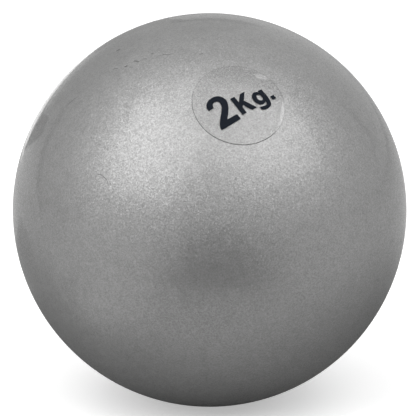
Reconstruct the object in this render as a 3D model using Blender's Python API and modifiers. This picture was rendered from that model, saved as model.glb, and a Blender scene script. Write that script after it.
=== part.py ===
"""A two kilogram shot: a turned grey iron ball, trimmed to weight through a closed bore.

Metres, kilograms, +Z up, with the origin at the ball's centre. The trim bore lies on the Z axis
and opens at the bottom pole, so every turned piece shares that axis. The round clear label lies
on the upper front of the ball, where -Y is the front and +X is to its right.
"""

import math

import bpy

# Ball
BALL_RADIUS = 0.0405
BALL_RINGS = 48
TURNED_STEPS = 80

# Trim bore, as depths in from the bottom pole. The thread is drawn plain, at its pitch radius.
MOUTH_RADIUS = 0.010
THREAD_RADIUS = 0.0075
THREAD_DEPTH = 0.015
DRILL_RADIUS = 0.00725
DRILL_DEPTH = 0.027
DRILL_POINT_ANGLE = math.radians(118)
FIT_GAP = 0.0003

# Closing plug, a socket set screw
PLUG_DEPTH = 0.0033
PLUG_LENGTH = 0.010
PLUG_CHAMFER = 0.001
SOCKET_ACROSS_FLATS = 0.008
SOCKET_DEPTH = 0.0055

# Filler over the plug
FILLER_ARC_STEPS = 8
FILLER_PEG_LENGTH = 0.0045
FILLER_OVERLAP = 0.001

# Label, a clear film disc on the paint
LABEL_DIAMETER = 0.01905
LABEL_THICKNESS = 0.0001
LABEL_GAP = 0.0001
LABEL_FROM_TOP = math.radians(43.2)
LABEL_TURN = math.radians(12.3)
LABEL_STEPS = 48
LABEL_RINGS = 5

# Weight: the lead is cut to the length that brings the whole shot to its target
TARGET_MASS = 2.010
IRON_DENSITY = 7250
LEAD_DENSITY = 11340
STEEL_DENSITY = 7850
FILLER_DENSITY = 1800
FELT_DENSITY = 300
FILM_DENSITY = 1200


def clear_scene():
    for thing in list(bpy.data.objects):
        bpy.data.objects.remove(thing, do_unlink=True)


def new_collection(name):
    collection = bpy.data.collections.new(name)
    bpy.context.scene.collection.children.link(collection)
    return collection


def finish(name, colour, roughness, metallic, alpha=1.0):
    material = bpy.data.materials.new(name)
    material.use_nodes = True
    surface = material.node_tree.nodes["Principled BSDF"]
    surface.inputs["Base Color"].default_value = (*colour, 1.0)
    surface.inputs["Roughness"].default_value = roughness
    surface.inputs["Metallic"].default_value = metallic
    surface.inputs["Alpha"].default_value = alpha
    material.diffuse_color = (*colour, alpha)
    return material


def arc(radius, start, end, steps):
    """Points of a circle about the origin as (radius, height), from one angle to another off +Z."""
    turns = (start + (end - start) * i / steps for i in range(steps + 1))
    return [(radius * math.sin(a), radius * math.cos(a)) for a in turns]


def depth(into_ball):
    """Height of a point on the axis that lies this far in from the bottom pole."""
    return into_ball - BALL_RADIUS


def sagitta(radius):
    """How far a circle of this radius on the ball lies in from the pole that it surrounds."""
    return BALL_RADIUS - math.sqrt(BALL_RADIUS**2 - radius**2)


def swept_volume(profile):
    """Volume that a profile of (radius, height) points sweeps, counted negative where it climbs."""
    total = 0.0
    for (r0, z0), (r1, z1) in zip(profile, profile[1:]):
        total += math.pi / 3 * (z0 - z1) * (r0 * r0 + r0 * r1 + r1 * r1)
    return total


def turn(name, profile, collection, material, steps=TURNED_STEPS):
    """A turned piece: its profile runs down the outer side and is swept round the Z axis."""
    mesh = bpy.data.meshes.new(name)
    mesh.from_pydata(
        [(radius, 0.0, height) for radius, height in profile],
        [(i, i + 1) for i in range(len(profile) - 1)],
        [],
    )
    piece = bpy.data.objects.new(name, mesh)
    collection.objects.link(piece)
    piece.data.materials.append(material)
    sweep = piece.modifiers.new("Sweep", "SCREW")
    sweep.axis = "Z"
    sweep.angle = math.tau
    sweep.steps = steps
    sweep.render_steps = steps
    sweep.use_merge_vertices = True
    sweep.merge_threshold = 0.00001
    sweep.use_smooth_shade = True
    return piece


def hexagon_bar(name, across_flats, low, high, collection):
    """A hexagonal bar on the Z axis between two heights, as a tool for the Booleans."""
    bpy.ops.mesh.primitive_cylinder_add(
        vertices=6,
        radius=across_flats / math.sqrt(3),
        depth=high - low,
        location=(0, 0, (low + high) / 2),
    )
    bar = bpy.context.object
    bar.name = name
    for owner in list(bar.users_collection):
        owner.objects.unlink(bar)
    collection.objects.link(bar)
    bar.hide_render = True
    bar.display_type = "WIRE"
    return bar


def combine(piece, tool, operation):
    boolean = piece.modifiers.new(tool.name, "BOOLEAN")
    boolean.operation = operation
    boolean.object = tool
    boolean.solver = "EXACT"


def hexagon_volume(across_flats, length):
    return math.sqrt(3) / 2 * across_flats**2 * length


def bore_profile():
    """From the mouth's edge on the ball, in past the countersink and thread, to the drill's point."""
    wall = THREAD_RADIUS + FIT_GAP / 2
    mouth = sagitta(MOUTH_RADIUS)
    run_out = wall - DRILL_RADIUS
    point = DRILL_RADIUS / math.tan(DRILL_POINT_ANGLE / 2)
    return [
        (wall, depth(mouth + MOUTH_RADIUS - wall)),
        (wall, depth(THREAD_DEPTH)),
        (DRILL_RADIUS, depth(THREAD_DEPTH + run_out)),
        (DRILL_RADIUS, depth(DRILL_DEPTH)),
        (0.0, depth(DRILL_DEPTH + point)),
    ]


def ball_profile():
    """The turned sphere from its top pole down to the bore's mouth, then up the bore."""
    mouth_angle = math.pi - math.asin(MOUTH_RADIUS / BALL_RADIUS)
    return arc(BALL_RADIUS, 0.0, mouth_angle, BALL_RINGS) + bore_profile()


def plug_profile():
    """The plug between its chamfers. Its upper end is the one deeper in the ball."""
    radius = THREAD_RADIUS - FIT_GAP / 2
    inner = depth(PLUG_DEPTH + PLUG_LENGTH)
    outer = depth(PLUG_DEPTH)
    return [
        (0.0, inner),
        (radius - PLUG_CHAMFER, inner),
        (radius, inner - PLUG_CHAMFER),
        (radius, outer + PLUG_CHAMFER),
        (radius - PLUG_CHAMFER, outer),
        (0.0, outer),
    ]


def filler_profile():
    """Putty pressed into the countersink and faired to the ball's own sphere."""
    inset = FIT_GAP * math.sqrt(2)
    rim = MOUTH_RADIUS - inset
    face = PLUG_DEPTH - FIT_GAP
    inner_radius = rim - (face - sagitta(rim))
    faired = arc(BALL_RADIUS, math.pi - math.asin(rim / BALL_RADIUS), math.pi, FILLER_ARC_STEPS)
    return [(0.0, depth(face)), (inner_radius, depth(face))] + faired


def lead_profile(length):
    """Lead cast into the drill's point, with a straight part of this length below the point."""
    radius = DRILL_RADIUS - FIT_GAP
    point = radius / math.tan(DRILL_POINT_ANGLE / 2)
    shoulder = depth(DRILL_DEPTH - FIT_GAP)
    return [
        (0.0, shoulder + point),
        (radius, shoulder),
        (radius, shoulder - length),
        (0.0, shoulder - length),
    ]


def wad_profile(lead_length):
    """Felt packed between the lead and the plug, so that nothing shifts."""
    radius = DRILL_RADIUS - FIT_GAP
    top = depth(DRILL_DEPTH - 2 * FIT_GAP) - lead_length
    bottom = depth(PLUG_DEPTH + PLUG_LENGTH + FIT_GAP)
    return [(0.0, top), (radius, top), (radius, bottom), (0.0, bottom)]


def lead_length():
    """Length of the lead's straight part that brings the shot to its target mass."""
    socket = hexagon_volume(SOCKET_ACROSS_FLATS, SOCKET_DEPTH)
    peg = hexagon_volume(SOCKET_ACROSS_FLATS - 2 * FIT_GAP, FILLER_PEG_LENGTH - FIT_GAP)
    label = math.pi / 4 * LABEL_DIAMETER**2 * LABEL_THICKNESS
    without_lead = (
        IRON_DENSITY * swept_volume(ball_profile())
        + STEEL_DENSITY * (swept_volume(plug_profile()) - socket)
        + FILLER_DENSITY * (swept_volume(filler_profile()) + peg)
        + FILM_DENSITY * label
    )
    # The wad gives way to the lead, so a metre of lead adds its own mass less the felt's.
    section = math.pi * (DRILL_RADIUS - FIT_GAP) ** 2
    wad_alone = FELT_DENSITY * swept_volume(wad_profile(0.0))
    point_alone = LEAD_DENSITY * swept_volume(lead_profile(0.0))
    missing = TARGET_MASS - without_lead - wad_alone - point_alone
    return missing / (section * (LEAD_DENSITY - FELT_DENSITY))


def make_ball(collection):
    paint = finish("silver_paint", (0.29, 0.29, 0.288), 0.42, 0.75)
    return turn("iron_ball", ball_profile(), collection, paint)


def make_lead(collection, length):
    lead = finish("cast_lead", (0.20, 0.21, 0.23), 0.6, 0.9)
    return turn("lead_trim_charge", lead_profile(length), collection, lead)


def make_wad(collection, length):
    felt = finish("grey_felt", (0.24, 0.22, 0.20), 0.95, 0.0)
    return turn("felt_wad", wad_profile(length), collection, felt)


def make_plug(collection, tools):
    steel = finish("blackened_steel", (0.09, 0.09, 0.095), 0.4, 0.9)
    plug = turn("closing_plug", plug_profile(), collection, steel)
    outer = depth(PLUG_DEPTH)
    clear_below = outer - PLUG_DEPTH
    socket = hexagon_bar("socket_cut", SOCKET_ACROSS_FLATS, clear_below, outer + SOCKET_DEPTH, tools)
    combine(plug, socket, "DIFFERENCE")
    return plug


def make_filler(collection, tools):
    """The faired cap, with the peg of putty that was pressed into the plug's socket."""
    putty = finish("painted_putty", (0.29, 0.29, 0.288), 0.45, 0.6)
    filler = turn("plug_filler", filler_profile(), collection, putty)
    face = depth(PLUG_DEPTH - FIT_GAP)
    across = SOCKET_ACROSS_FLATS - 2 * FIT_GAP
    peg = hexagon_bar("putty_peg", across, face - FILLER_OVERLAP, face + FILLER_PEG_LENGTH, tools)
    combine(filler, peg, "UNION")
    return filler


def make_label(collection):
    """A disc of film curved to the ball: an open cap about +Z, thickened, then tipped into place."""
    film = finish("clear_film", (0.62, 0.62, 0.62), 0.2, 0.0, alpha=0.3)
    underside = BALL_RADIUS + LABEL_GAP
    half_angle = LABEL_DIAMETER / 2 / BALL_RADIUS
    cap = arc(underside, 0.0, half_angle, LABEL_RINGS)
    label = turn("weight_label", cap, collection, film, steps=LABEL_STEPS)
    thicken = label.modifiers.new("Thicken", "SOLIDIFY")
    thicken.thickness = LABEL_THICKNESS
    thicken.offset = 1.0
    label.rotation_euler = (LABEL_FROM_TOP, 0.0, LABEL_TURN)
    return label


def main():
    clear_scene()
    shot = new_collection("two_kilogram_shot")
    tools = new_collection("cutters")
    tools.hide_render = True
    length = lead_length()
    make_ball(shot)
    make_lead(shot, length)
    make_wad(shot, length)
    make_plug(shot, tools)
    make_filler(shot, tools)
    make_label(shot)
    print(f"lead trimmed to {length * 1000:.2f} mm for {TARGET_MASS:.3f} kg")


main()
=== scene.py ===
import math

import bmesh
import bpy
from mathutils import Matrix, Vector, noise


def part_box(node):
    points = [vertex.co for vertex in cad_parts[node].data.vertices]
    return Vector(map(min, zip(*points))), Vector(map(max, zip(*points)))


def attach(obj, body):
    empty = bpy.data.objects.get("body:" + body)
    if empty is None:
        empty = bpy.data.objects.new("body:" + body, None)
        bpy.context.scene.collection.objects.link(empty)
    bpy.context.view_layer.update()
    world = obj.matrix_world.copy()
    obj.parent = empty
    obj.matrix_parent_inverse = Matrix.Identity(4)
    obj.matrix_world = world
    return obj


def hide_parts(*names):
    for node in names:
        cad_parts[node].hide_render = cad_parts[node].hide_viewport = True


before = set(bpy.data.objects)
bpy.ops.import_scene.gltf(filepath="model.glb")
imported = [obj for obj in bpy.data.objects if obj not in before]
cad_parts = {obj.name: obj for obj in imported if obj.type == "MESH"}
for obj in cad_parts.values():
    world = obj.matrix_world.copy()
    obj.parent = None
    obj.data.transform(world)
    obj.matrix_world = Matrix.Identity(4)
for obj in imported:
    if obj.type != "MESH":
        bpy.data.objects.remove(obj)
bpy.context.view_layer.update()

# Iron ball
# Grey iron, cast and turned to a true sphere, then drilled, tapped and countersunk at the bottom
# pole for its trim. It is sprayed with aluminium flake paint under a clear satin lacquer.

BALL_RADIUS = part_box("iron_ball")[1].z
MOUTH_RADIUS = math.sqrt(BALL_RADIUS**2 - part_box("iron_ball")[0].z ** 2)
BALL_STEPS = 320
BALL_RINGS = 168
TURNING_WAVE = 0.000010
TURNING_WAVE_LENGTH = 0.011

BORE_THREAD_RADIUS = 0.00765
THREAD_PITCH = 0.0015
THREAD_RISE = 0.00033
THREAD_ROWS = 12
THREAD_END = 0.015
DRILL_RADIUS = 0.00725
DRILL_END = 0.027
DRILL_POINT = math.radians(59)
EDGE_BREAK = 0.00004
EDGE_BREAK_DEPTH = EDGE_BREAK * 1.3
THREAD_SHARPNESS = 0.97
ON_SPHERE = 1e-6
SHARP_EDGE = math.radians(32)
ON_AXIS = 1e-9

SILVER_DARK = (0.115, 0.115, 0.114, 1)
SILVER_LIGHT = (0.345, 0.345, 0.343, 1)
SHADE_IN_PIT = (0.075, 0.075, 0.075, 1)
FLAKE = 0.00016
FLAKE_TILT = 0.26
FLAKE_MEAN = (0.5, 0.5, 0.5)
FLAKE_GROUP = 0.00019
PAINT_METALLIC = 0.85
PAINT_ROUGHNESS = 0.535
GLINT_GLOSS = 0.2
CLOUD_DULLING = 0.1
EDGE_TINT = (0.9, 0.9, 0.9, 1)
LACQUER = 0.25
LACQUER_ROUGHNESS = 0.06
MARK_CORE = 0.3
DENT_DEPTH = 0.00008

# The paint's patterns, from a fine mottle to the drift of the spray, by their number to a metre,
# and what each adds to the tone.
MOTTLE_SCALE = 2300
CLOUD_SCALE = 420
DRIFT_SCALE = 46
GLINT_TONE = 0.24
MOTTLE_TONE = 0.36
CLOUD_TONE = 0.2
DRIFT_TONE = 0.16
LEAST_TONE = 0.02

# Each nick and scratch in the lacquer: its two ends and its half width in millimetres, and its
# strength from 0 to 1. One below 0 stands up.
NICKS = [
    ((-17.00, -14.30, 33.90), (-16.70, -14.40, 33.96), 0.32, 0.9),
    ((-15.18, -13.83, 34.91), (-14.40, -14.60, 34.93), 0.27, 0.75),
    ((-18.71, -6.62, 35.31), (-18.44, -6.55, 35.46), 0.42, 0.9),
    ((-18.71, -7.61, 35.10), (-18.60, -7.70, 35.15), 0.22, 0.4),
    ((-19.39, -13.12, 33.05), (-18.57, -13.68, 33.29), 0.24, 0.5),
    ((-16.02, -15.17, 33.96), (-15.50, -15.60, 34.01), 0.22, 0.4),
    ((-13.49, -14.38, 35.37), (-12.78, -14.60, 35.55), 0.24, 0.4),
    ((-11.72, -13.59, 36.31), (-11.46, -13.66, 36.36), 0.26, 0.6),
    ((-10.56, -14.85, 36.17), (-9.34, -14.98, 36.45), 0.20, 0.3),
    ((-9.34, -14.98, 36.45), (-7.93, -15.27, 36.67), 0.22, 0.55),
    ((-1.97, -16.52, 36.92), (-1.36, -16.32, 37.04), 0.26, 0.5),
    ((-28.45, -12.87, 25.79), (-26.81, -13.35, 27.27), 0.18, 0.65),
    ((-22.50, -29.92, 15.45), (-21.49, -30.70, 15.36), 0.10, 0.5),
    ((-21.49, -30.70, 15.36), (-20.59, -31.64, 14.66), 0.10, 0.6),
    ((-20.59, -31.64, 14.66), (-20.27, -32.28, 13.70), 0.10, 0.6),
    ((-19.96, -32.12, 14.49), (-19.76, -32.56, 13.78), 0.10, 0.5),
    ((39.02, -10.35, -3.28), (39.06, -9.45, -5.01), 0.45, 0.35),
    ((5.30, -39.72, -5.80), (6.60, -39.55, -5.40), 0.10, -0.5),
    ((31.20, 20.10, 16.20), (29.90, 22.40, 15.60), 0.12, 0.5),
    ((-24.60, 28.30, 15.10), (-24.20, 28.90, 14.60), 0.22, 0.7),
    ((8.40, 35.60, -17.40), (10.30, 35.40, -16.70), 0.10, 0.5),
    ((-8.20, 21.30, 33.40), (-8.00, 21.60, 33.30), 0.20, 0.7),
    ((22.40, 8.10, -32.80), (21.10, 9.60, -33.20), 0.14, 0.6),
]

# Shallow hollows of the iron under unbroken paint, given in the same way.
HOLLOWS = [
    ((-17.05, -23.60, 28.20), (-16.95, -26.60, 25.40), 0.95, 0.5),
    ((18.60, 29.40, 20.90), (20.10, 29.70, 18.80), 1.10, 0.3),
]


class Wire:
    """A node's output that takes part in sums as a number would."""

    def __init__(self, socket):
        self.socket = socket

    def sum(self, operation, first, second):
        node = self.socket.id_data.nodes.new("ShaderNodeMath")
        node.operation = operation
        join(first, node.inputs[0])
        join(second, node.inputs[1])
        return Wire(node.outputs[0])

    def __add__(self, other):
        return self.sum("ADD", self, other)

    def __radd__(self, other):
        return self.sum("ADD", other, self)

    def __sub__(self, other):
        return self.sum("SUBTRACT", self, other)

    def __rsub__(self, other):
        return self.sum("SUBTRACT", other, self)

    def __mul__(self, other):
        return self.sum("MULTIPLY", self, other)

    def __rmul__(self, other):
        return self.sum("MULTIPLY", other, self)


def join(value, socket):
    """Links a wire to a socket, or writes a plain value into it."""
    if isinstance(value, Wire):
        socket.id_data.links.new(value.socket, socket)
    else:
        socket.default_value = value


class Recipe:
    """A tree of shader nodes that is being made up."""

    def __init__(self, owner):
        owner.use_nodes = True
        self.owner = owner
        self.tree = owner.node_tree
        self.tree.nodes.clear()

    def add(self, kind, settings=None, values=None, output=0):
        """Any node, by its type, its settings and the values or links of its sockets."""
        node = self.tree.nodes.new("ShaderNode" + kind)
        for name, value in (settings or {}).items():
            setattr(node, name, value)
        for name, value in (values or {}).items():
            join(value, node.inputs[name])
        return Wire(node.outputs[output]) if node.outputs else None

    def blend(self, amount, none, full):
        """One colour turning into another."""
        return self.add("Mix", {"data_type": "RGBA"}, {0: amount, 6: none, 7: full}, 2)

    def ease(self, value, start, end):
        """Runs smoothly from 0 to 1 while a value goes from start to end."""
        limits = {"Value": value, "From Min": start, "From Max": end}
        return self.add("MapRange", {"interpolation_type": "SMOOTHSTEP"}, limits)

    def vector(self, operation, values, output=0):
        return self.add("VectorMath", {"operation": operation}, values, output)

    def place(self):
        """Where a point lies in its own piece, in metres."""
        return self.add("TexCoord", None, None, "Object")

    def noise(self, where, scale, detail):
        """Soft blotches, as many to a metre as the scale says."""
        blotches = {"Vector": where, "Scale": scale, "Detail": detail}
        return self.add("TexNoise", None, blotches, "Fac")

    def bump(self, height, distance):
        return self.add("Bump", None, {"Height": height, "Distance": distance})

    def done(self, values):
        """Closes the recipe with one layered surface, and gives its material."""
        end = self.add("BsdfPrincipled", None, values)
        self.add("OutputMaterial", None, {"Surface": end})
        return self.owner


def new_finish(name):
    return Recipe(bpy.data.materials.new(name))


def near_line(paint, where, start, end, width):
    """A mask that is 1 along a line between two points, and fades out to its half width."""
    start, end = Vector(start), Vector(end)
    run = end - start
    offset = paint.vector("SUBTRACT", {0: where, 1: start})
    along = paint.vector("DOT_PRODUCT", {0: offset, 1: run / run.length_squared}, "Value")
    kept = paint.add("Clamp", None, {"Value": along})
    foot = paint.vector("SCALE", {0: run, "Scale": kept})
    away = paint.vector("DISTANCE", {0: offset, 1: foot}, "Value")
    return paint.ease(away, width, width * MARK_CORE)


def marks(paint, where, places):
    """How strongly a point is marked by the lines of a list, which is in millimetres."""
    total = 0.0
    for start, end, width, strength in places:
        metres = [[x / 1000 for x in point] for point in (start, end)]
        total = total + strength * near_line(paint, where, *metres, width / 1000)
    return total


def silver_paint(name, nicks, hollows):
    """Flakes that each lie at their own slight tilt, dulled and dented by knocks."""
    paint = new_finish(name)
    where = paint.place()
    upright = paint.add("NewGeometry", None, None, "Normal")
    flake = paint.add("TexVoronoi", None, {"Vector": where, "Scale": 1 / FLAKE}, "Color")
    lie = paint.vector("SUBTRACT", {0: flake, 1: FLAKE_MEAN})
    tilted = paint.vector("MULTIPLY_ADD", {0: lie, 1: (FLAKE_TILT,) * 3, 2: upright})
    group = paint.add("TexVoronoi", None, {"Vector": where, "Scale": 1 / FLAKE_GROUP}, "Color")
    glint = paint.add("SeparateColor", None, {0: group})
    mottle = paint.noise(where, MOTTLE_SCALE, 1)
    cloud = paint.noise(where, CLOUD_SCALE, 3)
    drift = paint.noise(where, DRIFT_SCALE, 2)
    tone = GLINT_TONE * glint + MOTTLE_TONE * mottle
    tone = tone + CLOUD_TONE * cloud + DRIFT_TONE * drift + LEAST_TONE
    colour = paint.blend(tone, SILVER_DARK, SILVER_LIGHT)
    normal = paint.vector("NORMALIZE", {0: tilted})
    if nicks:
        knocked = marks(paint, where, nicks)
        colour = paint.blend(knocked, colour, SHADE_IN_PIT)
        sunk = knocked + marks(paint, where, hollows)
        dents = {"Height": sunk, "Distance": -DENT_DEPTH, "Normal": normal}
        normal = paint.add("Bump", None, dents)
    return paint.done(
        {
            "Base Color": colour,
            "Metallic": PAINT_METALLIC,
            "Roughness": PAINT_ROUGHNESS + CLOUD_DULLING * cloud - GLINT_GLOSS * glint,
            "Specular Tint": EDGE_TINT,
            "Normal": normal,
            "Coat Weight": LACQUER,
            "Coat Roughness": LACQUER_ROUGHNESS,
        }
    )


def turned(name, rows, steps):
    """A mesh swept round Z. A row is (radius, height), or a function of the turn giving them."""
    shape = bmesh.new()
    loops = []
    for row in rows:
        if not callable(row) and row[0] < ON_AXIS:
            loops.append([shape.verts.new((0, 0, row[1]))])
            continue
        loop = []
        for step in range(steps):
            turn = math.tau * step / steps
            radius, height = row(turn) if callable(row) else row
            loop.append(shape.verts.new((radius * math.cos(turn), radius * math.sin(turn), height)))
        loops.append(loop)
    skin(shape, loops, steps)
    return finished_piece(name, shape)


def skin(shape, loops, steps):
    """Faces between one loop of points and the next. A loop may be a single point."""
    for near, far in zip(loops, loops[1:]):
        for step in range(steps):
            sides = [(near, step), (far, step), (far, step + 1), (near, step + 1)]
            ring = [loop[place % steps % len(loop)] for loop, place in sides]
            shape.faces.new(list(dict.fromkeys(ring)))


def finished_piece(name, shape):
    """The object made of a bmesh, with every normal outward and smooth but for its sharp edges."""
    bmesh.ops.recalc_face_normals(shape, faces=shape.faces)
    for face in shape.faces:
        face.smooth = True
    for edge in shape.edges:
        edge.smooth = edge.calc_face_angle(0) < SHARP_EDGE
    mesh = bpy.data.meshes.new(name)
    shape.to_mesh(mesh)
    shape.free()
    piece = bpy.data.objects.new(name, mesh)
    bpy.context.scene.collection.objects.link(piece)
    return piece


def fit(piece, material, node):
    """Gives a piece its finish and puts it in the place of its CAD node."""
    piece.data.materials.append(material)
    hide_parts(node)
    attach(piece, "root")


def depth(into_ball):
    return into_ball - BALL_RADIUS


def arc(radius, start, end, steps):
    """Points of a circle about the origin as (radius, height), from one angle to another off +Z."""
    turns = (start + (end - start) * i / steps for i in range(steps + 1))
    return [(max(radius * math.sin(a), 0.0), radius * math.cos(a)) for a in turns]


def thread(radius, start, end):
    """Rows of a right-handed V thread about a pitch radius, dying out over a turn at each end."""
    count = round(abs(end - start) / THREAD_PITCH * THREAD_ROWS)
    rows = []
    for i in range(count + 1):
        height = start + (end - start) * i / count
        rise = THREAD_RISE * min(1.0, min(abs(height - start), abs(height - end)) / THREAD_PITCH)

        def row(turn, height=height, rise=rise):
            place = math.sin(height / THREAD_PITCH * math.tau - turn)
            flank = math.asin(THREAD_SHARPNESS * place) / math.asin(THREAD_SHARPNESS)
            return radius + rise * flank, height

        rows.append(row)
    return rows


mouth_depth = BALL_RADIUS - math.sqrt(BALL_RADIUS**2 - MOUTH_RADIUS**2)
mouth_angle = math.pi - math.asin((MOUTH_RADIUS + EDGE_BREAK) / BALL_RADIUS)
countersink_end = mouth_depth + MOUTH_RADIUS - BORE_THREAD_RADIUS
ball_rows = arc(BALL_RADIUS, 0, mouth_angle, BALL_RINGS)
ball_rows.append((MOUTH_RADIUS - EDGE_BREAK, depth(mouth_depth + EDGE_BREAK_DEPTH)))
ball_rows += thread(BORE_THREAD_RADIUS, depth(countersink_end), depth(THREAD_END))
ball_rows += [
    (DRILL_RADIUS, depth(THREAD_END + BORE_THREAD_RADIUS - DRILL_RADIUS)),
    (DRILL_RADIUS, depth(DRILL_END)),
    (0.0, depth(DRILL_END + DRILL_RADIUS / math.tan(DRILL_POINT))),
]
painted_ball = turned("painted_ball", ball_rows, BALL_STEPS)
for corner in painted_ball.data.vertices:
    if corner.co.length > BALL_RADIUS - ON_SPHERE:
        swell = noise.noise(corner.co / TURNING_WAVE_LENGTH)
        corner.co *= 1 + TURNING_WAVE * (swell - 1) / BALL_RADIUS
fit(painted_ball, silver_paint("silver_paint_on_iron", NICKS, HOLLOWS), "iron_ball")

# Lead trim charge
# Lead melted into the drill's point to bring the ball up to weight. It has set with a crinkled
# skin and a shallow shrink hollow in its open face.

LEAD_STEPS = 96
LEAD_FIT = 0.0003
SHRINK_HOLLOW = 0.0006
LEAD_CRINKLE = 0.00007
CRINKLE_SCALE = 900
CRINKLE_LEVEL = 0.4
FRACTAL_FADE = 1.0
FRACTAL_STEP = 2.0
FRACTAL_LAYERS = 3
LEAD_POINT_ROWS = 12
LEAD_SIDE_ROWS = 20
LEAD_FACE_ROWS = 14
LEAD_POINT_SHARE = 0.985
LEAD_FACE_SHARE = 0.97
LEAD_FACE_SINK = 0.0001
LEAD_SIDE_START = 0.4
LEAD_BRIGHT = (0.20, 0.21, 0.235, 1)
LEAD_OXIDE = (0.115, 0.12, 0.13, 1)
BLOOM_SCALE = 260
CRYSTAL_SCALE = 900
OXIDE_SPREAD = (0.42, 0.62)
LEAD_GRAIN_DEPTH = 0.00006


def pit(piece, pit_depth, scale, level):
    """Presses in a piece's surface wherever a crinkled pattern falls below a level."""
    for corner in piece.data.vertices:
        crinkle = noise.fractal(corner.co * scale, FRACTAL_FADE, FRACTAL_STEP, FRACTAL_LAYERS)
        corner.co += corner.normal * pit_depth * min(crinkle - level, 0.0)


lead_low, lead_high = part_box("lead_trim_charge")
lead_radius = DRILL_RADIUS - LEAD_FIT
lead_shoulder = lead_high.z - lead_radius / math.tan(DRILL_POINT)
lead_rows = [(0.0, lead_high.z)]
for i in range(1, LEAD_POINT_ROWS + 1):
    down = i / LEAD_POINT_ROWS
    radius = lead_radius * down * LEAD_POINT_SHARE
    lead_rows.append((radius, lead_high.z + (lead_shoulder - lead_high.z) * down))
for i in range(LEAD_SIDE_ROWS):
    down = (i + LEAD_SIDE_START) / LEAD_SIDE_ROWS
    lead_rows.append((lead_radius, lead_shoulder + (lead_low.z - lead_shoulder) * down))
for i in range(LEAD_FACE_ROWS + 1):
    reach = 1 - i / LEAD_FACE_ROWS
    hollow = SHRINK_HOLLOW * (1 - reach**2) ** 1.5
    lead_rows.append((lead_radius * LEAD_FACE_SHARE * reach, lead_low.z + LEAD_FACE_SINK + hollow))
lead_charge = turned("cast_lead_charge", lead_rows, LEAD_STEPS)
pit(lead_charge, LEAD_CRINKLE, CRINKLE_SCALE, CRINKLE_LEVEL)

lead = new_finish("cast_lead_skin")
where = lead.place()
bloom = lead.noise(where, BLOOM_SCALE, 5)
crystal = lead.add("TexVoronoi", None, {"Vector": where, "Scale": CRYSTAL_SCALE}, "Distance")
oxide = lead.ease(bloom, *OXIDE_SPREAD)
lead_finish = lead.done(
    {
        "Base Color": lead.blend(oxide, LEAD_BRIGHT, LEAD_OXIDE),
        "Metallic": 1 - 0.35 * oxide,
        "Roughness": 0.42 + 0.25 * oxide,
        "Normal": lead.bump(crystal + bloom, LEAD_GRAIN_DEPTH),
    }
)
fit(lead_charge, lead_finish, "lead_trim_charge")

# Felt wad
# A disc punched from pressed grey wool felt and packed on the lead, so that nothing shifts when
# the ball is shaken. The plug's end squeezes it to a slight barrel.

FELT_STEPS = 120
FELT_BARREL = 0.00018
FELT_FUZZ = 0.00009
TUFT_SCALE = 1500
TUFT_LEVEL = 0.5
FELT_ROWS = 16
FELT_FACE_SHARE = 0.97
FELT_ROUNDING = 0.06
WOOL_DARK = (0.15, 0.14, 0.13, 1)
WOOL_LIGHT = (0.33, 0.31, 0.28, 1)
WOOL_PALE = (0.5, 0.48, 0.45, 1)
FIBRE = {"Scale": 2600, "Detail": 6, "Distortion": 1.5}
FLECK_SCALE = 1400
FLECK_EDGE = (0.25, 0.1)
WOOL_NAP_DEPTH = 0.0002

felt_low, felt_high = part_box("felt_wad")
felt_radius = lead_radius
felt_face = [felt_radius * i / FELT_ROWS * FELT_FACE_SHARE for i in range(FELT_ROWS + 1)]
felt_rows = [(radius, felt_high.z) for radius in felt_face]
for i in range(FELT_ROWS + 1):
    down = i / FELT_ROWS
    swell = FELT_BARREL * (4 * down * (1 - down) - 1)
    rounded = FELT_ROUNDING + (1 - 2 * FELT_ROUNDING) * down
    felt_rows.append((felt_radius + swell, felt_high.z + (felt_low.z - felt_high.z) * rounded))
felt_rows += [(radius, felt_low.z) for radius in reversed(felt_face)]
felt_wad = turned("pressed_felt_wad", felt_rows, FELT_STEPS)
pit(felt_wad, FELT_FUZZ, TUFT_SCALE, TUFT_LEVEL)

felt = new_finish("pressed_wool_felt")
where = felt.place()
fibre = felt.add("TexNoise", None, {"Vector": where, **FIBRE}, "Fac")
fleck = felt.add("TexVoronoi", None, {"Vector": where, "Scale": FLECK_SCALE}, "Distance")
pale = felt.ease(fleck, *FLECK_EDGE)
wool = felt.blend(fibre, WOOL_DARK, WOOL_LIGHT)
felt_finish = felt.done(
    {
        "Base Color": felt.blend(0.5 * pale, wool, WOOL_PALE),
        "Roughness": 0.95,
        "Sheen Weight": 0.4,
        "Sheen Roughness": 0.5,
        "Normal": felt.bump(fibre, WOOL_NAP_DEPTH),
    }
)
fit(felt_wad, felt_finish, "felt_wad")

# Closing plug
# A socket set screw of blackened steel, with a rolled thread and both its ends chamfered. It is
# run down on the felt with a hexagon key until it lies below the ball's surface.

PLUG_STEPS = 240
PLUG_THREAD_RADIUS = 0.00735
PLUG_CHAMFER = 0.001
SOCKET_FLATS = 0.008
SOCKET_DEPTH = 0.0055
SOCKET_LEAD_IN = 0.0003
SOCKET_POINT = 0.0014
SOCKET_FLOOR_RADIUS = 0.0036
SOCKET_FLOOR_STEP = 0.0002
STEEL_BLACK = (0.045, 0.046, 0.05, 1)
STEEL_WORN = (0.17, 0.165, 0.16, 1)
ROLLED_GRAIN = (1, 1, 9)
DRAWN_SCALE = 700
STAIN_SCALE = 210
WORN_SPREAD = (0.5, 0.72)
DRAWN_GRAIN_DEPTH = 0.00003


def hexagon(across_flats, height):
    """A row that follows a hexagon's sides."""

    def row(turn):
        off_flat = (turn + math.pi / 6) % (math.pi / 3) - math.pi / 6
        return across_flats / 2 / math.cos(off_flat), height

    return row


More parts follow.
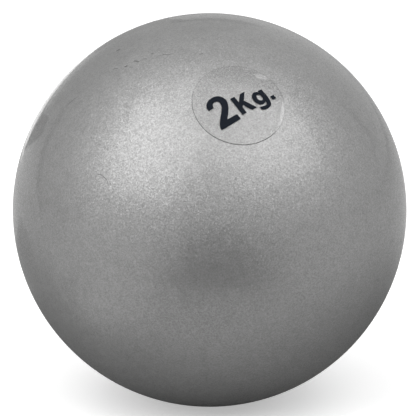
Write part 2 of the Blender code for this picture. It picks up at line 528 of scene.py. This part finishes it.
plug_low, plug_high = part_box("closing_plug")
end_radius = PLUG_THREAD_RADIUS - PLUG_CHAMFER
plug_rows = [(0.0, plug_high.z), (end_radius, plug_high.z)]
plug_rows += thread(PLUG_THREAD_RADIUS, plug_high.z - PLUG_CHAMFER, plug_low.z + PLUG_CHAMFER)
plug_rows += [
    (end_radius, plug_low.z),
    hexagon(SOCKET_FLATS + 2 * SOCKET_LEAD_IN, plug_low.z),
    hexagon(SOCKET_FLATS, plug_low.z + SOCKET_LEAD_IN),
    hexagon(SOCKET_FLATS, plug_low.z + SOCKET_DEPTH),
    (SOCKET_FLOOR_RADIUS, plug_low.z + SOCKET_DEPTH + SOCKET_FLOOR_STEP),
    (0.0, plug_low.z + SOCKET_DEPTH + SOCKET_POINT),
]
closing_plug = turned("threaded_closing_plug", plug_rows, PLUG_STEPS)

steel = new_finish("blackened_steel")
where = steel.place()
rolled = steel.vector("MULTIPLY", {0: where, 1: ROLLED_GRAIN})
drawn = steel.noise(rolled, DRAWN_SCALE, 4)
stain = steel.noise(where, STAIN_SCALE, 3)
worn = steel.ease(stain, *WORN_SPREAD)
steel_finish = steel.done(
    {
        "Base Color": steel.blend(worn, STEEL_BLACK, STEEL_WORN),
        "Metallic": 0.9,
        "Roughness": 0.34 + 0.2 * drawn,
        "Normal": steel.bump(drawn, DRAWN_GRAIN_DEPTH),
    }
)
fit(closing_plug, steel_finish, "closing_plug")

# Plug filler
# Polyester body filler, pressed into the countersink and the plug's socket and sanded to the
# sphere. It shrank a little as it cured, so a faint ring shows through the paint.

FILLER_GAP = 0.00006
FILLER_RIM = MOUTH_RADIUS - FILLER_GAP
FILLER_FACE = 0.003
FILLER_SHRINK = 0.00003
PEG_FLATS = 0.0074
PEG_CHAMFER = 0.0005
FILLER_RINGS = 40
FILLER_STEPS = 240
FILLER_CONE_GAP = 0.0002
FILLER_EDGE_BREAK = 0.00005
FILLER_EDGE_DEPTH = 0.00008
FILLER_SUNK = 0.00001

peg_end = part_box("plug_filler")[1].z
rim_depth = BALL_RADIUS - math.sqrt(BALL_RADIUS**2 - FILLER_RIM**2)
cone_end = FILLER_RIM - (FILLER_FACE - rim_depth) - FILLER_CONE_GAP
filler_rows = [
    (0.0, peg_end),
    hexagon(PEG_FLATS - 2 * PEG_CHAMFER, peg_end),
    hexagon(PEG_FLATS, peg_end - PEG_CHAMFER),
    hexagon(PEG_FLATS, depth(FILLER_FACE)),
    (cone_end, depth(FILLER_FACE)),
    (FILLER_RIM, depth(rim_depth + FILLER_EDGE_DEPTH)),
]
rim_angle = math.pi - math.asin((FILLER_RIM - FILLER_EDGE_BREAK) / BALL_RADIUS)
for radius, height in arc(1.0, rim_angle, math.pi, FILLER_RINGS):
    reach = radius * BALL_RADIUS / FILLER_RIM
    sunk = BALL_RADIUS - FILLER_SUNK - FILLER_SHRINK * (1 - reach**6)
    filler_rows.append((radius * sunk, height * sunk))
filler = turned("faired_filler", filler_rows, FILLER_STEPS)
fit(filler, silver_paint("silver_paint_on_filler", [], []), "plug_filler")

# Weight label
# A round of clear self-adhesive film a tenth of a millimetre thick, cut with a die and rubbed
# down on the lacquer by hand. Its edge has caught some dirt, with painted shade added towards its
# low side, and it lifts a little at one side, where a painted highlight lies. A short painted
# highlight streak crosses the film too.

LABEL_RADIUS = 0.01905 / 2
LABEL_FROM_TOP = math.radians(43.2)
LABEL_TURN = math.radians(12.3)
PRINT_SLOPE = math.radians(36)
FILM_THICKNESS = 0.0001
FILM_STEPS = 240
FILM_RINGS = 44
FILM_EDGE = 0.00004
FILM_UNDERSIDE = 0.00001
RING_CROWDING = 0.7
FILM_LIFT = 0.00012
LIFT_TURN = math.radians(-47)
LIFT_SPREAD = math.radians(26)
LIFT_WIDTH = 0.0011
# A painted highlight streak on the film: its two ends and its half width, in metres.
HIGHLIGHT_STREAK_START = (0.0098, -0.0208, 0.0334)
HIGHLIGHT_STREAK_END = (0.0110, -0.0207, 0.0330)
HIGHLIGHT_STREAK_WIDTH = 0.0011

# Where the rim's dirt and painted shade start and end inside the edge, and how they grow to the low
# side.
RIM_INNER = 0.00016
RIM_OUTER = 0.00004
LOW_SIDE_DIRT_AND_SHADE_SPREAD = (-0.008, 0.009)
DIRT_AND_SHADE_EVEN = 0.6
DIRT_AND_SHADE_SPECKLED = 0.8
SPECKLE_SCALE = 900
HAZE_SCALE = 240
RIM_DIRT_AND_SHADE = (0.05, 0.05, 0.048, 1)
RIM_HIGHLIGHT = (0.3, 0.3, 0.3, 1)
FILM_GREY = (0.06, 0.06, 0.058, 1)
FILM_HIGHLIGHT = (0.8, 0.8, 0.8, 1)

# A painted highlight lies on the lifted side, between these two shares of the film's reach.
HIGHLIGHT_START = 0.80
HIGHLIGHT_END = 0.96

# How much the clear film hides by itself, and what its marks add to that or clear away. The
# painted highlights and the rim's dirt and painted shade add to it, and the low side is left a
# little clearer, a painted change of shade.
FILM_HIDES = 0.036
HAZE_HIDES = 0.02
LOW_SIDE_CLEARS = 0.02
HIGHLIGHT_HIDES = 0.13
HIGHLIGHT_STREAK_HIDES = 0.045
RIM_HIDES = 0.05
DIRT_AND_SHADE_HIDES = 0.4

label_axis = Vector(
    (
        math.sin(LABEL_FROM_TOP) * math.sin(LABEL_TURN),
        -math.sin(LABEL_FROM_TOP) * math.cos(LABEL_TURN),
        math.cos(LABEL_FROM_TOP),
    )
)
sideways = (Vector((1, 0, 0)) - label_axis * label_axis.x).normalized()
print_right = Matrix.Rotation(PRINT_SLOPE, 3, label_axis) @ sideways
print_up = label_axis.cross(print_right)


def on_label(x, y, height):
    """A point of the label, in metres along and across its print, at a height above the paint."""
    span = math.hypot(x, y)
    across = print_right * x + print_up * y
    bend = span / BALL_RADIUS
    towards = across / span if span else across
    return (label_axis * math.cos(bend) + towards * math.sin(bend)) * (BALL_RADIUS + height)


def lift(x, y):
    """How far the film stands off the paint."""
    away = (math.atan2(y, x) - LIFT_TURN) / LIFT_SPREAD
    inward = (LABEL_RADIUS - math.hypot(x, y)) / LIFT_WIDTH
    if abs(away) >= 1 or inward >= 1:
        return 0.0
    return FILM_LIFT * (1 - away**2) ** 2 * (1 - max(inward, 0.0)) ** 1.5


shape = bmesh.new()
shares = [(i / FILM_RINGS) ** RING_CROWDING for i in range(FILM_RINGS + 1)]
section = [((LABEL_RADIUS - FILM_EDGE) * share, FILM_THICKNESS) for share in shares]
section += [(LABEL_RADIUS, FILM_THICKNESS - FILM_EDGE), (LABEL_RADIUS, FILM_EDGE / 2)]
section += [(LABEL_RADIUS * share, FILM_UNDERSIDE) for share in reversed(shares)]
loops = []
for radius, height in section:
    count = FILM_STEPS if radius > ON_AXIS else 1
    loop = []
    for step in range(count):
        turn = math.tau * step / count
        x, y = radius * math.cos(turn), radius * math.sin(turn)
        loop.append(shape.verts.new(on_label(x, y, height + lift(x, y))))
    loops.append(loop)
skin(shape, loops, FILM_STEPS)
label_film = finished_piece("label_film", shape)

film = new_finish("clear_label_film")
where = film.place()
along_axis = film.vector("DOT_PRODUCT", {0: where, 1: label_axis}, "Value")
on_axis = film.vector("SCALE", {0: label_axis, "Scale": along_axis})
off_axis = film.vector("SUBTRACT", {0: where, 1: on_axis})
reach = film.vector("LENGTH", {0: off_axis}, "Value")
edge_reach = BALL_RADIUS * math.sin(LABEL_RADIUS / BALL_RADIUS)
rim = film.ease(reach, edge_reach - RIM_INNER, edge_reach - RIM_OUTER)
# Darker towards the film's low side: dirt and painted shade.
low_side = (label_axis * label_axis.z - Vector((0, 0, 1))).normalized()
downhill = film.vector("DOT_PRODUCT", {0: off_axis, 1: low_side}, "Value")
low_side_dirt_and_shade = film.ease(downhill, *LOW_SIDE_DIRT_AND_SHADE_SPREAD)
# The side where the painted highlight lies, near the rim.
lit_side = print_right * math.cos(LIFT_TURN) + print_up * math.sin(LIFT_TURN)
outward = film.vector("DOT_PRODUCT", {0: off_axis, 1: lit_side}, "Value")
lifted_side_highlight = film.ease(outward, edge_reach * HIGHLIGHT_START, edge_reach * HIGHLIGHT_END)
highlight_streak = near_line(film, where, HIGHLIGHT_STREAK_START, HIGHLIGHT_STREAK_END, HIGHLIGHT_STREAK_WIDTH)
speckle = film.noise(where, SPECKLE_SCALE, 2)
haze = film.noise(where, HAZE_SCALE, 3)
# The rim is dark with dirt and painted shade, except for a painted highlight on the lifted side.
# The film is pale with painted highlight there and along the streak.
edge_shade_and_highlight = film.blend(lifted_side_highlight, RIM_DIRT_AND_SHADE, RIM_HIGHLIGHT)
film_and_highlights = film.blend(lifted_side_highlight + highlight_streak, FILM_GREY, FILM_HIGHLIGHT)
hidden = FILM_HIDES + HAZE_HIDES * haze - LOW_SIDE_CLEARS * low_side_dirt_and_shade
hidden = hidden + HIGHLIGHT_HIDES * lifted_side_highlight + HIGHLIGHT_STREAK_HIDES * highlight_streak
rim_dirt_and_shade_alpha = RIM_HIDES + DIRT_AND_SHADE_HIDES * low_side_dirt_and_shade * (DIRT_AND_SHADE_EVEN + DIRT_AND_SHADE_SPECKLED * speckle)
film_finish = film.done(
    {
        "Base Color": film.blend(rim, film_and_highlights, edge_shade_and_highlight),
        "Roughness": 0.42 + 0.1 * haze,
        "Alpha": hidden + rim * rim_dirt_and_shade_alpha,
    }
)
fit(label_film, film_finish, "weight_label")

# Label print
# The mass, screen printed on the film in one pass of nearly black ink before it was cut. The ink
# stands a fiftieth of a millimetre above the film.

INK_THICKNESS = 0.00002
INK_GRID = 0.0005
INK_GRID_LINES = 20
INK_CURVE_STEPS = 8
INK_BLACK = (0.0035, 0.0055, 0.009, 1)
INK_THIN = (0.0085, 0.011, 0.0165, 1)
INK_SCALE = 1900
INK_GRAIN_DEPTH = 0.00001
SAME_POINT = 1e-7
ON_PLANE = 1e-8

# Each outline is closed, in millimetres from the label's middle. A third value marks a corner.
GLYPHS = {
    "figure_two": [
        [
            (-6.35, 1.60, 1), (-6.25, 2.45), (-5.60, 3.33), (-4.15, 3.80), (-2.72, 3.36),
            (-2.00, 2.05), (-2.28, 0.70), (-3.05, -0.50), (-4.35, -1.98, 1), (-2.00, -2.05, 1),
            (-2.00, -3.35, 1), (-6.70, -3.35, 1), (-6.62, -2.75), (-6.20, -1.95),
            (-5.10, -0.68), (-4.10, 0.42), (-3.52, 1.35), (-3.42, 1.95), (-3.62, 2.45),
            (-4.18, 2.66), (-4.82, 2.42), (-5.10, 1.70, 1),
        ]
    ],
    "letter_k": [
        [
            (-1.15, -2.75, 1), (-0.12, -2.75, 1), (-0.12, -1.30, 1), (0.28, -0.92, 1),
            (1.22, -2.75, 1), (2.45, -2.75, 1), (1.02, -0.17, 1), (2.45, 1.50, 1),
            (1.25, 1.50, 1), (-0.12, -0.02, 1), (-0.12, 1.55, 1), (-1.15, 1.55, 1),
        ]
    ],
    "letter_g": [
        [
            (5.90, 0.36, 1), (5.90, -2.55), (5.45, -3.60), (4.40, -3.95), (3.50, -3.85),
            (3.02, -3.55, 1), (3.04, -2.96, 1), (3.80, -3.12), (4.45, -3.15), (4.86, -2.88),
            (4.95, -2.35, 1), (4.55, -2.62), (3.95, -2.68), (3.15, -2.20), (2.85, -1.15),
            (3.15, -0.08), (3.95, 0.42), (4.60, 0.26), (4.96, -0.10, 1), (4.96, 0.36, 1),
        ],
        [
            (4.33, -0.35), (3.95, -0.55), (3.80, -1.12), (3.95, -1.66), (4.35, -1.86),
            (4.77, -1.66), (4.90, -1.12), (4.77, -0.55),
        ],
    ],
    "full_stop": [[(6.55, -2.72, 1), (7.45, -2.72, 1), (7.45, -1.82, 1), (6.55, -1.82, 1)]],
}


def printed(name, outlines):
    """A flat glyph, cut small and bent over the label, with the thickness of its ink."""
    curve = bpy.data.curves.new(name, "CURVE")
    curve.dimensions = "2D"
    curve.fill_mode = "BOTH"
    curve.resolution_u = INK_CURVE_STEPS
    for outline in outlines:
        spline = curve.splines.new("BEZIER")
        spline.use_cyclic_u = True
        spline.bezier_points.add(len(outline) - 1)
        for point, (x, y, *corner) in zip(spline.bezier_points, outline):
            point.co = (x / 1000, y / 1000, 0)
            point.handle_left_type = point.handle_right_type = "VECTOR" if corner else "AUTO"
    flat = bpy.data.objects.new(name, curve)
    bpy.context.scene.collection.objects.link(flat)
    shape = bmesh.new()
    shape.from_mesh(flat.to_mesh())
    bpy.data.objects.remove(flat)
    bmesh.ops.remove_doubles(shape, verts=shape.verts, dist=SAME_POINT)
    for axis in (0, 1):
        for step in range(-INK_GRID_LINES, INK_GRID_LINES + 1):
            at = [0, 0, 0]
            at[axis] = step * INK_GRID
            across = [0, 0, 0]
            across[axis] = 1
            parts = shape.verts[:] + shape.edges[:] + shape.faces[:]
            bmesh.ops.bisect_plane(shape, geom=parts, dist=ON_PLANE, plane_co=at, plane_no=across)
    grown = bmesh.ops.extrude_face_region(shape, geom=shape.faces[:])
    top = {part for part in grown["geom"] if isinstance(part, bmesh.types.BMVert)}
    for corner in shape.verts:
        x, y = corner.co.x, corner.co.y
        height = FILM_THICKNESS + lift(x, y) + (INK_THICKNESS if corner in top else 0.0)
        corner.co = on_label(x, y, height)
    return finished_piece(name, shape)


ink = new_finish("label_ink")
where = ink.place()
mottle = ink.noise(where, INK_SCALE, 3)
ink_finish = ink.done(
    {
        "Base Color": ink.blend(mottle, INK_BLACK, INK_THIN),
        "Roughness": 0.55 + 0.2 * mottle,
        "Specular IOR Level": 0.06,
        "Normal": ink.bump(mottle, INK_GRAIN_DEPTH),
    }
)
for name, outlines in GLYPHS.items():
    fit(printed("print_" + name, outlines), ink_finish, "weight_label")

# Floor and light
# White paper for a floor, a white room and soft lamps to the left, to the right and overhead. The
# eye and gloss see the paper lighter than it is for the light that it throws back.

FLOOR_SIDE = 8
FLOOR_GAP = 0.0001
PAPER = (0.475, 0.475, 0.475, 1)
PAPER_SEEN = (0.82, 0.82, 0.82, 1)
PAPER_GLOW = (0.42, 0.42, 0.42, 1)
PAPER_GLOW_FAR = (0.72, 0.72, 0.72, 1)
PAPER_SWEEP = (0.2, 2.2)
AMBIENT = 0.38

# Each lamp's turn and rise in degrees, its distance, width and height in metres, and its level.
SOFTBOXES = {
    "left_softbox": (-47.5, 42.0, 1.2, 1.07, 1.065, 2.99),
    "right_softbox": (49.9, 45.8, 1.2, 1.26, 0.866, 2.23),
    "top_softbox": (0, 85.9, 1.2, 1.78, 0.453, 2.02),
}


def rays_that_see(recipe):
    """1 for the rays of the eye, of gloss and of clear film, and 0 for those that carry light."""
    eye = recipe.add("LightPath", None, None, "Is Camera Ray")
    kinds = eye.socket.node.outputs
    return eye + Wire(kinds["Is Glossy Ray"]) + Wire(kinds["Is Transmission Ray"])


def staged(name, shape, material):
    """A piece of the studio, which is no part of the object."""
    card = finished_piece(name, shape)
    card.data.materials.append(material)
    return card


def floor_sheet(name, height, material):
    shape = bmesh.new()
    bmesh.ops.create_grid(shape, x_segments=1, y_segments=1, size=FLOOR_SIDE / 2)
    sheet = staged(name, shape, material)
    sheet.location.z = height
    return sheet


paper = new_finish("white_paper")
seen = rays_that_see(paper)
away = paper.vector("LENGTH", {0: paper.place()}, "Value")
glow = paper.blend(paper.ease(away, *PAPER_SWEEP), PAPER_GLOW, PAPER_GLOW_FAR)
paper_finish = paper.done(
    {
        "Base Color": paper.blend(seen, PAPER, PAPER_SEEN),
        "Roughness": 1.0,
        "Specular IOR Level": 0.0,
        "Emission Color": paper.blend(seen, (0, 0, 0, 1), glow),
        "Emission Strength": 1.0,
    }
)
floor_sheet("floor", -BALL_RADIUS - FLOOR_GAP, paper_finish)

room = bpy.data.worlds.new("white_room")
bpy.context.scene.world = room
air = Recipe(room)
strength = AMBIENT + (1 - AMBIENT) * rays_that_see(air)
glow = air.add("Background", None, {"Color": (1, 1, 1, 1), "Strength": strength})
air.add("OutputWorld", None, {"Surface": glow})


def softbox(name, turn, rise, distance, width, height, level):
    """A soft lamp aimed at the ball, by its turn right of the camera and its rise in degrees."""
    lamp = bpy.data.lights.new(name, "AREA")
    lamp.shape = "RECTANGLE"
    lamp.size = width
    lamp.size_y = height
    lamp.energy = level * width * height * math.pi
    holder = bpy.data.objects.new(name, lamp)
    bpy.context.scene.collection.objects.link(holder)
    side, up = math.radians(turn), math.radians(rise)
    towards = Vector((math.cos(up) * math.sin(side), -math.cos(up) * math.cos(side), math.sin(up)))
    holder.location = towards * distance
    holder.rotation_euler = towards.to_track_quat("Z", "Y").to_euler()
    holder.visible_camera = False


for name, measures in SOFTBOXES.items():
    softbox(name, *measures)

# Board and cloth
# What the ball mirrors from below, seen only in gloss. A board on the paper carries a painted
# shadow, dark where the ball's own shadow falls behind it, and a faintly glowing dark cloth in
# front rises a little as a painted dark reflection, so the ball's lower front goes deep.

BOARD_GAP = 0.00005
BOARD_SHADED = (0, 0, 0, 1)
BOARD_MIDDLE = (0.003, 0.035, 0)
BOARD_NARROWING = (0.68, 1, 0)
BOARD_FADE = (0.001, 0.118)
BOARD_GLOW = 0.044

CLOTH_LEFT = -0.048
CLOTH_RIGHT = 0.0734
CLOTH_NEAR = (-0.094, -0.0403)
CLOTH_FAR = (-0.35, 0.033)
CLOTH_GLOW = 0.13


def only_gloss(card):
    """Hides a piece of the studio from all but gloss, so that it gives no light and no shadow."""
    card.visible_camera = card.visible_diffuse = card.visible_shadow = False


def even_glow(name, level):
    """A finish that mirrors nothing and is equally bright all over."""
    values = {
        "Base Color": (0, 0, 0, 1),
        "Specular IOR Level": 0.0,
        "Emission Color": (1, 1, 1, 1),
        "Emission Strength": level,
    }
    return new_finish(name).done(values)


# A painted shadow: black where the ball's own shadow falls, fading to the paper's white, with a
# faint even glow.
board = new_finish("painted_shadow_board")
where = board.place()
flattened = board.vector("MULTIPLY", {0: where, 1: BOARD_NARROWING})
away = board.vector("DISTANCE", {0: flattened, 1: BOARD_MIDDLE}, "Value")
faded = board.ease(away, *BOARD_FADE)
board_finish = board.done(
    {
        "Base Color": board.blend(faded, BOARD_SHADED, PAPER_SEEN),
        "Roughness": 1.0,
        "Specular IOR Level": 0.0,
        "Emission Color": (1, 1, 1, 1),
        "Emission Strength": BOARD_GLOW,
    }
)
only_gloss(floor_sheet("painted_shadow_board", -BALL_RADIUS - BOARD_GAP, board_finish))

# A painted dark reflection: a faintly, evenly glowing dark sheet in front of the ball, seen only in
# gloss.
shape = bmesh.new()
cloth_corners = [(side, *CLOTH_NEAR) for side in (CLOTH_LEFT, CLOTH_RIGHT)]
cloth_corners += [(side, *CLOTH_FAR) for side in (CLOTH_RIGHT, CLOTH_LEFT)]
shape.faces.new([shape.verts.new(corner) for corner in cloth_corners])
only_gloss(staged("painted_dark_reflection", shape, even_glow("painted_dark_reflection", CLOTH_GLOW)))

# Gloss cards
# Cards that only gloss can see hang round the ball, as in a studio for shiny things. Each glows
# evenly and is a painted reflection: pale ones brighten its edge, and dark flags and streaks put
# back the bands that a room draws on it.

CAMERA_RISE = math.radians(15)
to_camera = Vector((0, -math.cos(CAMERA_RISE), math.sin(CAMERA_RISE)))
view_up = Vector((0, math.sin(CAMERA_RISE), math.cos(CAMERA_RISE)))

# Each card's brightness, its distance in metres and its strip: turns round the ball's outline in
# degrees, with the inner and the outer reach at each.
CARDS = {
    "white_card": (3.1, 0.3, [
        (122, 0.9975, 0.9995),
        (132, 0.9905, 0.9995),
        (140, 0.9852, 0.9995),
        (150, 0.9822, 0.9995),
        (160, 0.9842, 0.9995),
        (168, 0.9875, 0.9995),
        (176, 0.9920, 0.9995),
        (183, 0.9970, 0.9995),
    ]),
    "pale_card": (1.3, 0.3, [
        (157, 0.912, 0.926),
        (159, 0.905, 0.953),
        (163, 0.901, 0.982),
        (167, 0.893, 0.986),
        (171, 0.884, 0.988),
        (175, 0.880, 0.930),
    ]),
    "floor_card": (1.25, 0.035, [
        (209, 0.73, 0.75),
        (215, 0.66, 0.80),
        (224, 0.62, 0.83),
        (233, 0.64, 0.84),
        (243, 0.67, 0.83),
        (250, 0.73, 0.77),
    ]),
    "left_flag": (0.0, 0.25, [
        (150, 0.935, 0.980),
        (153, 0.930, 0.981),
        (156, 0.924, 0.983),
        (159, 0.957, 0.985),
        (162, 0.982, 0.987),
    ]),
    "top_flag": (0.25, 0.25, [
        (74, 0.958, 0.964),
        (84, 0.955, 0.968),
        (97, 0.957, 0.968),
        (102, 0.962, 0.985),
    ]),
    "crown_flag": (0.44, 0.25, [
        (102, 0.975, 0.999),
        (106, 0.972, 0.999),
        (118, 0.975, 0.999),
        (126, 0.980, 0.997),
    ]),
    "side_flag": (0.45, 0.06, [
        (182, 0.950, 0.960),
        (187, 0.925, 0.980),
        (192, 0.918, 0.998),
        (198, 0.915, 0.998),
        (205, 0.925, 0.998),
    ]),
    "brow_flag": (0.75, 0.26, [
        (78, 0.930, 0.970),
        (86, 0.895, 0.972),
        (98, 0.885, 0.972),
        (112, 0.885, 0.970),
    ]),
    "shoulder_flag": (0.6, 0.26, [
        (112, 0.885, 0.970),
        (122, 0.880, 0.974),
        (130, 0.870, 0.972),
        (137, 0.868, 0.968),
        (143, 0.920, 0.967),
        (149, 0.942, 0.972),
    ]),
    "left_streak": (0.1, 0.24, [
        (141, 0.884, 0.894),
        (147, 0.880, 0.900),
        (155, 0.876, 0.901),
        (163, 0.872, 0.898),
        (167, 0.867, 0.891),
        (171, 0.858, 0.882),
        (175, 0.850, 0.870),
        (179, 0.840, 0.857),
        (183, 0.836, 0.844),
    ]),
    "right_streak": (0.1, 0.24, [
        (42, 0.836, 0.842),
        (38, 0.842, 0.862),
        (34, 0.860, 0.878),
        (30, 0.871, 0.888),
        (26, 0.877, 0.895),
        (22, 0.877, 0.895),
        (18, 0.872, 0.880),
    ]),
}


def mirrored(turn, reach, distance):
    """The place that the camera sees mirrored in the ball, by its turn round the ball's outline.

    The reach is 0 at the middle of the ball's image and 1 at its outline.
    """
    turn = math.radians(turn)
    outward = Vector((math.cos(turn), 0, 0)) + view_up * math.sin(turn)
    upright = outward * reach + to_camera * math.sqrt(1 - reach**2)
    bounced = 2 * upright * upright.dot(to_camera) - to_camera
    return upright * BALL_RADIUS + bounced * distance


def mirrored_card(name, level, distance, strip):
    """An even card that fills a strip of the ball's mirror image."""
    shape = bmesh.new()
    rows = []
    for turn, *ends in strip:
        rows.append([shape.verts.new(mirrored(turn, reach, distance)) for reach in ends])
    for near, far in zip(rows, rows[1:]):
        shape.faces.new([near[0], near[1], far[1], far[0]])
    only_gloss(staged(name, shape, even_glow(name, level)))


for name, (level, distance, strip) in CARDS.items():
    mirrored_card(name, level, distance, strip)

# Camera
# A long lens 1.2 metres off, looking 15 degrees down on the ball from in front. It is shifted a
# little, because the ball lies somewhat right of the picture's middle and below it.

CAMERA_DISTANCE = 1.2
IMAGE_SIDE = 416
BALL_IN_IMAGE = 197.0
BALL_RIGHT_OF_MIDDLE = 1.65
BALL_BELOW_MIDDLE = 1.92

lens = bpy.data.cameras.new("lens")
apparent = BALL_RADIUS / math.sqrt(CAMERA_DISTANCE**2 - BALL_RADIUS**2)
lens.lens = BALL_IN_IMAGE / IMAGE_SIDE / apparent * lens.sensor_width
lens.shift_x = -BALL_RIGHT_OF_MIDDLE / IMAGE_SIDE
lens.shift_y = BALL_BELOW_MIDDLE / IMAGE_SIDE
camera = bpy.data.objects.new("camera", lens)
bpy.context.scene.collection.objects.link(camera)
camera.location = to_camera * CAMERA_DISTANCE
camera.rotation_euler = (math.pi / 2 - CAMERA_RISE, 0, 0)
bpy.context.scene.camera = camera
bpy.context.scene.view_settings.view_transform = "Standard"
